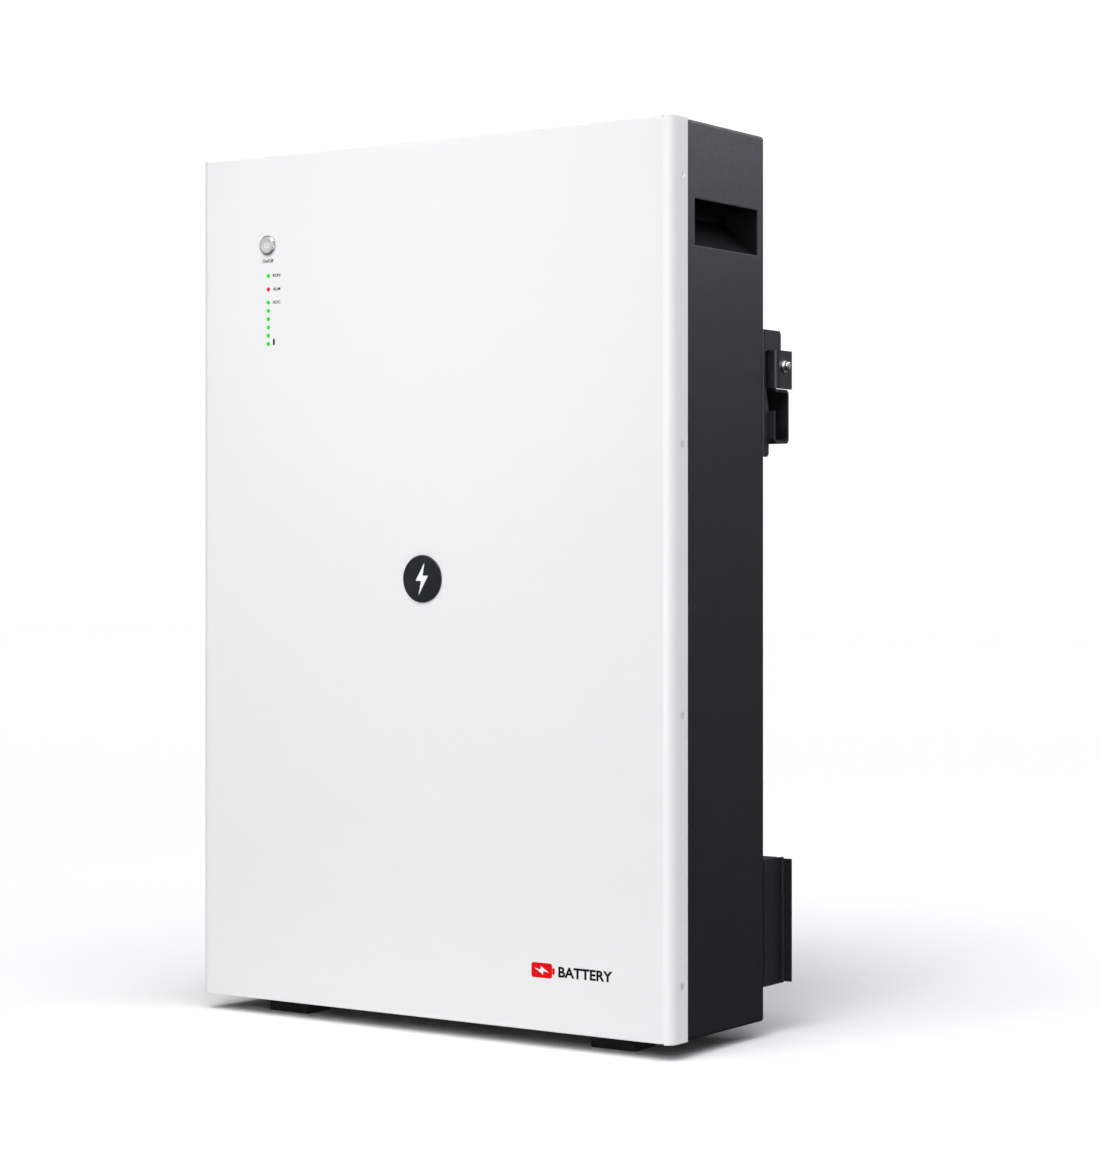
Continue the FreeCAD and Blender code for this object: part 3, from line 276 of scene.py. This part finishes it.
class Paint:
    """A Principled material, with helpers that add fine colour, gloss and bump variation."""

    def __init__(self, name, colour, roughness, metallic=0.0):
        self.material = bpy.data.materials.new(name)
        self.material.use_nodes = True
        self.tree = self.material.node_tree
        self.shader = self.tree.nodes["Principled BSDF"]
        self.colour = colour
        self.set("Base Color", (*colour, 1.0))
        self.set("Roughness", roughness)
        self.set("Metallic", metallic)
        self.place = self.tree.nodes.new("ShaderNodeTexCoord").outputs["Object"]

    def set(self, socket, value):
        """Give one of the shader's sockets a constant value."""
        self.shader.inputs[socket].default_value = value
        return self

    def noise(self, scale, detail=3.0, stretch=None):
        """Noise pattern with a scale per metre, stretched along an axis if asked."""
        texture = self.tree.nodes.new("ShaderNodeTexNoise")
        texture.inputs["Scale"].default_value = scale
        texture.inputs["Detail"].default_value = detail
        place = self.place
        if stretch:
            mapping = self.tree.nodes.new("ShaderNodeMapping")
            mapping.inputs["Scale"].default_value = stretch
            self.tree.links.new(place, mapping.inputs["Vector"])
            place = mapping.outputs["Vector"]
        self.tree.links.new(place, texture.inputs["Vector"])
        return texture.outputs["Fac"]

    def ramp(self, source, low, high, start=NOISE_LOW, end=NOISE_HIGH):
        """Colours from low to high as the source rises from start to end."""
        ramp = self.tree.nodes.new("ShaderNodeValToRGB")
        ramp.color_ramp.elements[0].position = start
        ramp.color_ramp.elements[1].position = end
        ramp.color_ramp.elements[0].color = (*low, 1)
        ramp.color_ramp.elements[1].color = (*high, 1)
        self.tree.links.new(source, ramp.inputs["Fac"])
        return ramp.outputs["Color"]

    def vary_colour(self, source, amount, start=NOISE_LOW, end=NOISE_HIGH):
        """Vary the base colour by a share of itself, both ways."""
        low = tuple(max(0.0, part * (1 - amount)) for part in self.colour)
        high = tuple(min(1.0, part * (1 + amount)) for part in self.colour)
        varied = self.ramp(source, low, high, start, end)
        self.tree.links.new(varied, self.shader.inputs["Base Color"])
        return self

    def vary_roughness(self, source, low, high):
        """Let the roughness run from low to high with the source."""
        spread = self.tree.nodes.new("ShaderNodeMapRange")
        spread.inputs["From Min"].default_value = NOISE_LOW
        spread.inputs["From Max"].default_value = NOISE_HIGH
        spread.inputs["To Min"].default_value = low
        spread.inputs["To Max"].default_value = high
        self.tree.links.new(source, spread.inputs["Value"])
        self.tree.links.new(spread.outputs["Result"], self.shader.inputs["Roughness"])
        return self

    def bump(self, source, strength, height):
        """Bump of a height in metres; a second call stacks on the first."""
        bump = self.tree.nodes.new("ShaderNodeBump")
        bump.inputs["Strength"].default_value = strength
        bump.inputs["Distance"].default_value = height
        self.tree.links.new(source, bump.inputs["Height"])
        normal = self.shader.inputs["Normal"]
        if normal.links:
            self.tree.links.new(normal.links[0].from_socket, bump.inputs["Normal"])
        self.tree.links.new(bump.outputs["Normal"], normal)
        return self


def powder_coat(name, colour, roughness, grain_height, tint, specular=0.5):
    """Fine-textured powder coat: a 1 mm grain over a slow orange peel."""
    paint = Paint(name, colour, roughness)
    grain = paint.noise(COAT_GRAIN, 2.0)
    peel = paint.noise(COAT_PEEL, 2.0)
    paint.vary_colour(grain, tint)
    paint.vary_roughness(peel, roughness - 0.04, roughness + 0.05)
    paint.bump(peel, 0.25, 0.05 * MM)
    paint.bump(grain, 0.6, grain_height)
    paint.set("Specular IOR Level", specular)
    return paint


def moulded(name, colour, roughness):
    """Moulded plastic with a fine spark-eroded grain."""
    paint = Paint(name, colour, roughness)
    grain = paint.noise(MOULD_GRAIN, 3.0)
    paint.vary_colour(paint.noise(MOULD_CLOUD, 2.0), 0.05)
    paint.vary_roughness(grain, roughness - 0.05, roughness + 0.07)
    paint.bump(grain, 0.35, 0.04 * MM)
    return paint


def metal(name, colour, roughness, stretch=(1, 1, 1)):
    """Bare or plated metal with fine drawn or turned marks."""
    paint = Paint(name, colour, roughness, metallic=1.0)
    marks = paint.noise(METAL_MARKS, 4.0, stretch)
    cloud = paint.noise(METAL_CLOUD, 3.0)
    paint.vary_colour(cloud, 0.06)
    paint.vary_roughness(marks, roughness - 0.06, roughness + 0.1)
    paint.bump(marks, 0.3, 0.03 * MM)
    return paint


def satin(name, colour, roughness, metallic):
    """Blasted or nickel-plated metal: part mirror, part matt, with a fine even grain."""
    paint = Paint(name, colour, roughness, metallic)
    grain = paint.noise(SATIN_GRAIN, 2.0)
    paint.vary_colour(paint.noise(SATIN_CLOUD, 3.0), 0.04)
    paint.vary_roughness(grain, roughness - 0.05, roughness + 0.08)
    paint.bump(grain, 0.25, 0.02 * MM)
    return paint


def lamp(name, colour):
    """Lit light pipe, with a slightly uneven glow."""
    paint = Paint(name, colour, 0.18)
    glow = paint.noise(LAMP_GLOW, 1.0)
    low = tuple(part * 0.75 for part in colour)
    paint.tree.links.new(paint.ramp(glow, low, colour), paint.shader.inputs["Emission Color"])
    paint.set("Emission Strength", LED_GLOW).set("IOR", 1.49).set("Specular IOR Level", 0.3)
    paint.vary_colour(glow, 0.1)
    return paint


def make_materials():
    """Finish of each material slot, and of the nodes whose finish differs from their slot's."""
    white, black = (0.765, 0.766, 0.770), (0.0092, 0.0086, 0.0128)
    paints = {
        "white_coat": powder_coat("white_coat", white, 0.42, 0.035 * MM, 0.012),
        "black_coat": powder_coat("black_coat", black, 0.40, 0.05 * MM, 0.18, 0.82),
        # Black foam gasket, made darker and less shiny than the foam itself: painted shade in the
        # gap between the cover and the box
        "foam": moulded("foam", (0.004, 0.004, 0.004), 0.9).set("Specular IOR Level", 0.05),
        "stainless": satin("stainless", (0.70, 0.70, 0.71), 0.3, 0.55),
        "zinc": metal("zinc", (0.55, 0.56, 0.58), 0.34),
        "gloss_black": badge_lacquer(),
        "led_green": lamp("led_green", (0.001, 0.55, 0.004)),
        "led_red": lamp("led_red", (0.56, 0.004, 0.002)),
        "circuit_board": circuit_board(),
        "black_moulding": moulded("black_moulding", (0.022, 0.022, 0.025), 0.5),
        "pale_moulding": moulded("pale_moulding", (0.66, 0.66, 0.63), 0.42),
        "orange_moulding": moulded("orange_moulding", (0.8, 0.19, 0.012), 0.4),
        "clear_sheet": clear_sheet(),
        "cell_can": moulded("cell_can", (0.02, 0.09, 0.32), 0.35),
        "bare_aluminium": metal("bare_aluminium", (0.72, 0.73, 0.74), 0.4, (1, 1, 12)),
        "copper": metal("copper", (0.75, 0.36, 0.22), 0.3, (12, 1, 1)),
        "brass": metal("brass", (0.74, 0.56, 0.25), 0.3),
        "silvered_copper": metal("silvered_copper", (0.8, 0.79, 0.75), 0.22),
    }
    for part in frame["record"]["subparts"]:
        node = nodes[part["node"]]
        node.data.materials.clear()
        node.data.materials.append(paints[part["material_slot"]].material)
    # Black plastic of the handle cups, made darker and less shiny than the other black mouldings:
    # painted shade inside the handle recesses
    cup_moulding_painted_shade = moulded("cup_moulding_painted_shade", (0.0032, 0.0031, 0.0045), 0.5)
    cup_moulding_painted_shade.set("Specular IOR Level", 0.08)
    special = {
        "switch_housing": satin("polished_bezel", (0.44, 0.44, 0.45), 0.22, 0.9),
        "handle_cup_left": cup_moulding_painted_shade,
        "handle_cup_right": cup_moulding_painted_shade,
        "cover_screws": satin("nickelled_screw", (0.80, 0.80, 0.81), 0.26, 0.32),
        "lock_screws": metal("bright_screw", (0.93, 0.93, 0.94), 0.16),
        "lock_washers": metal("bright_washer", (0.90, 0.90, 0.91), 0.2),
    }
    for name, paint in special.items():
        nodes[name].data.materials[0] = paint.material


def badge_lacquer():
    """Deep gloss black with a clear coat and a faint haze."""
    paint = Paint("gloss_black", (0.02, 0.021, 0.026), 0.22)
    haze = paint.noise(LACQUER_HAZE, 2.0)
    paint.vary_colour(haze, 0.12)
    paint.vary_roughness(haze, 0.18, 0.26)
    paint.bump(haze, 0.05, 0.05 * MM)
    paint.set("Coat Weight", 0.6).set("Coat Roughness", 0.06)
    return paint


def circuit_board():
    """Green solder mask with faint copper tracks beneath it."""
    paint = Paint("circuit_board", (0.01, 0.11, 0.035), 0.3)
    tracks = paint.noise(BOARD_TRACKS, 1.0, (1, 1, 4))
    paint.vary_colour(tracks, 0.5, 0.47, 0.53)
    paint.bump(tracks, 0.4, 0.03 * MM)
    return paint


def clear_sheet():
    """Clear polycarbonate of the covers over the busbars."""
    paint = Paint("clear_sheet", (0.9, 0.94, 0.96), 0.12)
    paint.vary_roughness(paint.noise(SHEET_CLOUD, 2.0), 0.08, 0.16)
    paint.set("Transmission Weight", 0.85).set("IOR", 1.58)
    return paint


# ---- Softened edges on the CAD nodes ----

WELD_DISTANCE = 0.004 * MM
SHARP_ANGLE = math.radians(40)

# Bevel widths in mm; plates with holes get narrow ones, which keep their flat faces clean
SOFT_EDGES = {
    "enclosure": 0.35,
    "handle_cup_left": 0.3,
    "handle_cup_right": 0.3,
    "connection_pan": 0.12,
    "wall_rail": 0.45,
    "ear_left": 0.12,
    "ear_right": 0.12,
    "feet_front": 0.5,
    "feet_rear": 0.5,
    "breaker_body": 0.5,
    "breaker_lever": 0.3,
    "positive_sockets": 0.4,
    "negative_sockets": 0.4,
    "data_ports": 0.2,
    "lock_screws": 0.2,
    "ear_bolts": 0.25,
    "lower_bracket_bolts": 0.25,
}


def soften(name, width):
    """Merge the split vertices, round the sharp edges a little and shade by face area."""
    node = nodes[name]
    weld = node.modifiers.new("weld", "WELD")
    weld.merge_threshold = WELD_DISTANCE
    bevel = node.modifiers.new("bevel", "BEVEL")
    bevel.width = width
    bevel.segments = 2
    bevel.limit_method = "ANGLE"
    bevel.angle_limit = SHARP_ANGLE
    bevel.use_clamp_overlap = True
    for polygon in node.data.polygons:
        polygon.use_smooth = True
    normals = node.modifiers.new("normals", "WEIGHTED_NORMAL")
    normals.keep_sharp = True


# ---- Printed and etched details ----

INK = 0.06 * MM  # thickness of a printed detail
CAPITAL_SHARE = 0.7  # height of a capital, as a share of the font's size
LETTER_WEIGHT = 0.045  # thickening of the strokes, as a share of a capital's height

LABEL_HEIGHT = 3.1 * MM
LABEL_WIDTH = 10.2 * MM
LABEL_RIGHT = 11.3 * MM  # from the lights to the middle of their names
CHARGE_DOWN = 14.1 * MM  # from the red light to the third name
SWITCH_LABEL_HEIGHT = 3.3 * MM
SWITCH_LABEL_WIDTH = 15.2 * MM
SWITCH_LABEL_DOWN = 16.6 * MM
CHARGE_SIGN_RIGHT = 7.6 * MM
CHARGE_SIGN_UP = 1.5 * MM

EMBLEM_HEIGHT = 33 * MM
EMBLEM_THICKNESS = 0.25 * MM

SIGN_UP = 61 * MM
SIGN_BATTERY_X = 148 * MM
SIGN_WORD_X = 200 * MM
SIGN_WORD_HEIGHT = 10.0 * MM
SIGN_WORD_WIDTH = 64 * MM
SIGN_BOLT_HEIGHT = 17 * MM

SYMBOL_RADIUS = 2.9 * MM
SYMBOL_LINE = 0.7 * MM
SYMBOL_THICKNESS = 0.16 * MM
SYMBOL_DEPTH = 0.44 * MM  # below the rim of the dished button

PAN_FLOOR = 1.5 * MM  # from the pan's inner side to the floor of the connection recess
PORTS = 4
PORT_PITCH = 16.5 * MM
PORTS_BACK = 131 * MM  # from the cover's face to the middle of the row of ports
PORT_NUMBER_UP = 706 * MM
PORT_NUMBER_HEIGHT = 3 * MM

# Panel print: name, text, and in mm the distance behind the cover's face, height and size
PANEL_WORDS = (
    ("panel_plus", "+", 74, 645, 7),
    ("panel_minus", "-", 138, 645, 7),
    ("panel_reset", "RESET", 106, 679, 3),
    ("panel_data", "DATA", 131, 734, 4),
    ("panel_on", "ON", 68, 741, 4),
    ("panel_off", "OFF", 68, 681, 4),
)


def link(name, mesh, paint, body="cabinet"):
    """Add a detail to the scene and let it ride a body."""
    piece = bpy.data.objects.new(name, mesh)
    scene.collection.objects.link(piece)
    mesh.materials.append(paint.material)
    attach(piece, body)


def plate_mesh(name, outlines, thickness):
    """Flat artwork: each outline is a closed list of (right, up) points, given a thickness."""
    mesh = bpy.data.meshes.new(name)
    shape = bmesh.new()
    for outline in outlines:
        low = [shape.verts.new((x, 0.0, z)) for x, z in outline]
        shape.faces.new(low)
    solid = bmesh.ops.extrude_face_region(shape, geom=list(shape.faces))
    moved = [part for part in solid["geom"] if isinstance(part, bmesh.types.BMVert)]
    bmesh.ops.translate(shape, verts=moved, vec=(0, -thickness, 0))
    bmesh.ops.recalc_face_normals(shape, faces=list(shape.faces))
    shape.to_mesh(mesh)
    shape.free()
    return mesh


def on_front(mesh, x, z, depth):
    """Move front-facing artwork to a place, at a depth along Y."""
    mesh.transform(Matrix.Translation((x, depth, z)))


def on_left(mesh, y, z, depth):
    """Turn front-facing artwork to face left, at a depth along X."""
    turn = Matrix.Rotation(math.radians(-90), 4, "Z")
    mesh.transform(Matrix.Translation((depth, y, z)) @ turn)


def text_mesh(name, words, height):
    """Printed lettering, centred, facing the front; height is of its capitals."""
    data = bpy.data.curves.new(name, "FONT")
    data.body = words
    data.size = height / CAPITAL_SHARE
    data.align_x = "CENTER"
    data.align_y = "CENTER"
    data.extrude = INK / 2
    data.resolution_u = 4
    data.offset = LETTER_WEIGHT * height
    source = bpy.data.objects.new(name + "_source", data)
    scene.collection.objects.link(source)
    bpy.context.view_layer.update()
    mesh = bpy.data.meshes.new_from_object(source)
    bpy.data.objects.remove(source)
    mesh.name = name
    mesh.transform(Matrix.Rotation(math.radians(90), 4, "X"))
    upward = [v.co.z for v in mesh.vertices]
    centre = (max(upward) + min(upward)) / 2
    mesh.transform(Matrix.Translation((0, -INK / 2, -centre)))
    return mesh


def widen(mesh, width):
    """Scale lettering sideways so that it is a given width."""
    across = [v.co.x for v in mesh.vertices]
    factor = width / (max(across) - min(across))
    centre = (max(across) + min(across)) / 2
    mesh.transform(Matrix.Diagonal((factor, 1, 1, 1)) @ Matrix.Translation((-centre, 0, 0)))


def rounded_box(half_x, half_z, radius, steps=6):
    """Outline of a rounded rectangle around the origin."""
    points = []
    corners = (
        (half_x, half_z, 0), (-half_x, half_z, 90),
        (-half_x, -half_z, 180), (half_x, -half_z, 270),
    )
    for x, z, start in corners:
        cx = x - math.copysign(radius, x)
        cz = z - math.copysign(radius, z)
        for step in range(steps + 1):
            turn = math.radians(start + 90 * step / steps)
            points.append((cx + radius * math.cos(turn), cz + radius * math.sin(turn)))
    return points


def bolt_outline(height):
    """Lightning bolt around the origin."""
    shape = (
        (0.10, 0.50), (-0.24, -0.06), (-0.03, -0.06),
        (-0.12, -0.50), (0.24, 0.10), (0.03, 0.10),
    )
    return [(x * height, z * height) for x, z in shape]


def ring_outline(outer, inner, start, end, steps=28):
    """Open ring between two angles, in degrees from +X."""
    turns = [math.radians(start + (end - start) * step / steps) for step in range(steps + 1)]
    points = [(outer * math.cos(turn), outer * math.sin(turn)) for turn in turns]
    return points + [(inner * math.cos(turn), inner * math.sin(turn)) for turn in reversed(turns)]


def power_outlines(radius, line):
    """Standby symbol: a broken ring and a bar."""
    ring = ring_outline(radius, radius - line, 125, 415)
    half, low, high = line / 2, radius * 0.15, radius * 1.15
    return [ring, [(-half, low), (half, low), (half, high), (-half, high)]]


def make_labels(inks):
    """Names of the lights, the switch's label and the battery sign beside the last light."""
    led_x, red = middle(red_low, red_high)
    button_x, button_z = middle(button_low, button_high)
    lens = (red_high.z - red_low.z) / 2
    top = green_high.z - lens
    for words, z in (("RUN", top), ("ALM", red), ("SOC", red - CHARGE_DOWN)):
        name = "label_" + words.lower()
        mesh = text_mesh(name, words, LABEL_HEIGHT)
        widen(mesh, LABEL_WIDTH)
        on_front(mesh, led_x + LABEL_RIGHT, z, FRONT)
        link(name, mesh, inks["grey"])
    mesh = text_mesh("label_on_off", "On/Off", SWITCH_LABEL_HEIGHT)
    widen(mesh, SWITCH_LABEL_WIDTH)
    on_front(mesh, button_x, button_z - SWITCH_LABEL_DOWN, FRONT)
    link("label_on_off", mesh, inks["grey"])
    outlines = [rounded_box(1.35 * MM, 3.0 * MM, 0.4 * MM, 3)]
    cap = rounded_box(0.7 * MM, 0.5 * MM, 0.1 * MM, 2)
    outlines.append([(x, z + 3.45 * MM) for x, z in cap])
    mesh = plate_mesh("label_charge", outlines, INK)
    on_front(mesh, led_x + CHARGE_SIGN_RIGHT, green_low.z + lens + CHARGE_SIGN_UP, FRONT)
    link("label_charge", mesh, inks["dark"])


def make_badge(inks):
    """Lightning bolt on the round badge, sunk a little into its face."""
    mesh = plate_mesh("badge_emblem", [bolt_outline(EMBLEM_HEIGHT)], EMBLEM_THICKNESS)
    on_front(mesh, 0, middle(badge_low, badge_high)[1], badge_low.y + 0.1 * MM)
    link("badge_emblem", mesh, inks["white"])


def make_sign(inks):
    """Red battery sign and a plain word at the cover's lower right."""
    z = COVER_BASE + SIGN_UP
    body = rounded_box(12.5 * MM, 7.5 * MM, 2.6 * MM)
    nub = [(px + 14.2 * MM, pz) for px, pz in rounded_box(1.5 * MM, 3.2 * MM, 0.8 * MM, 4)]
    mesh = plate_mesh("sign_battery", [body, nub], INK)
    on_front(mesh, SIGN_BATTERY_X, z, FRONT)
    link("sign_battery", mesh, inks["red"])
    turned = [(pz, -px) for px, pz in bolt_outline(SIGN_BOLT_HEIGHT)]
    mesh = plate_mesh("sign_bolt", [turned], INK)
    on_front(mesh, SIGN_BATTERY_X, z, FRONT - INK)
    link("sign_bolt", mesh, inks["white"])
    mesh = text_mesh("sign_word", "BATTERY", SIGN_WORD_HEIGHT)
    widen(mesh, SIGN_WORD_WIDTH)
    on_front(mesh, SIGN_WORD_X, z, FRONT)
    link("sign_word", mesh, inks["dark"])


def make_power_symbol(inks):
    """Etched standby symbol on the button, which travels with it."""
    x, z = middle(button_low, button_high)
    mesh = plate_mesh("power_symbol", power_outlines(SYMBOL_RADIUS, SYMBOL_LINE), SYMBOL_THICKNESS)
    on_front(mesh, x, z - 0.2 * MM, button_low.y + SYMBOL_DEPTH)
    link("power_symbol", mesh, inks["etched"], "button")


def make_panel_labels(inks):
    """White print on the floor of the connection recess."""
    floor_x = pan_high.x - PAN_FLOOR
    for name, words, depth, up, size in PANEL_WORDS:
        mesh = text_mesh(name, words, size * MM)
        on_left(mesh, FRONT + depth * MM, COVER_BASE + up * MM, floor_x)
        link(name, mesh, inks["white"])
    for port in range(PORTS):
        number = str(port + 1)
        mesh = text_mesh("panel_port_" + number, number, PORT_NUMBER_HEIGHT)
        y = FRONT + PORTS_BACK + (port - (PORTS - 1) / 2) * PORT_PITCH
        on_left(mesh, y, COVER_BASE + PORT_NUMBER_UP, floor_x)
        link("panel_port_" + number, mesh, inks["white"])


def make_inks():
    """Paints of the printed and etched details."""
    grey = moulded("ink_grey", (0.010, 0.010, 0.013), 0.5)
    dark = moulded("ink_dark", (0.005, 0.005, 0.007), 0.5)
    white = moulded("ink_white", (0.86, 0.86, 0.87), 0.4)
    red = moulded("ink_red", (0.68, 0.001, 0.003), 0.5)
    for ink in (grey, dark, red):
        ink.set("Specular IOR Level", INK_SPECULAR)
    # The etched symbol on the button is near-white: painted highlight of the engraving
    etched = satin("etched_steel_painted_highlight", (0.93, 0.93, 0.94), 0.5, 0.1)
    return {"grey": grey, "dark": dark, "white": white, "red": red, "etched": etched}


# ---- Build the scene ----

scene.view_settings.view_transform = "Standard"
make_camera()
make_world()
make_floor()
make_lights()
make_materials()
for name, width in SOFT_EDGES.items():
    soften(name, width * MM)
inks = make_inks()
make_labels(inks)
make_badge(inks)
make_sign(inks)
make_power_symbol(inks)
make_panel_labels(inks)
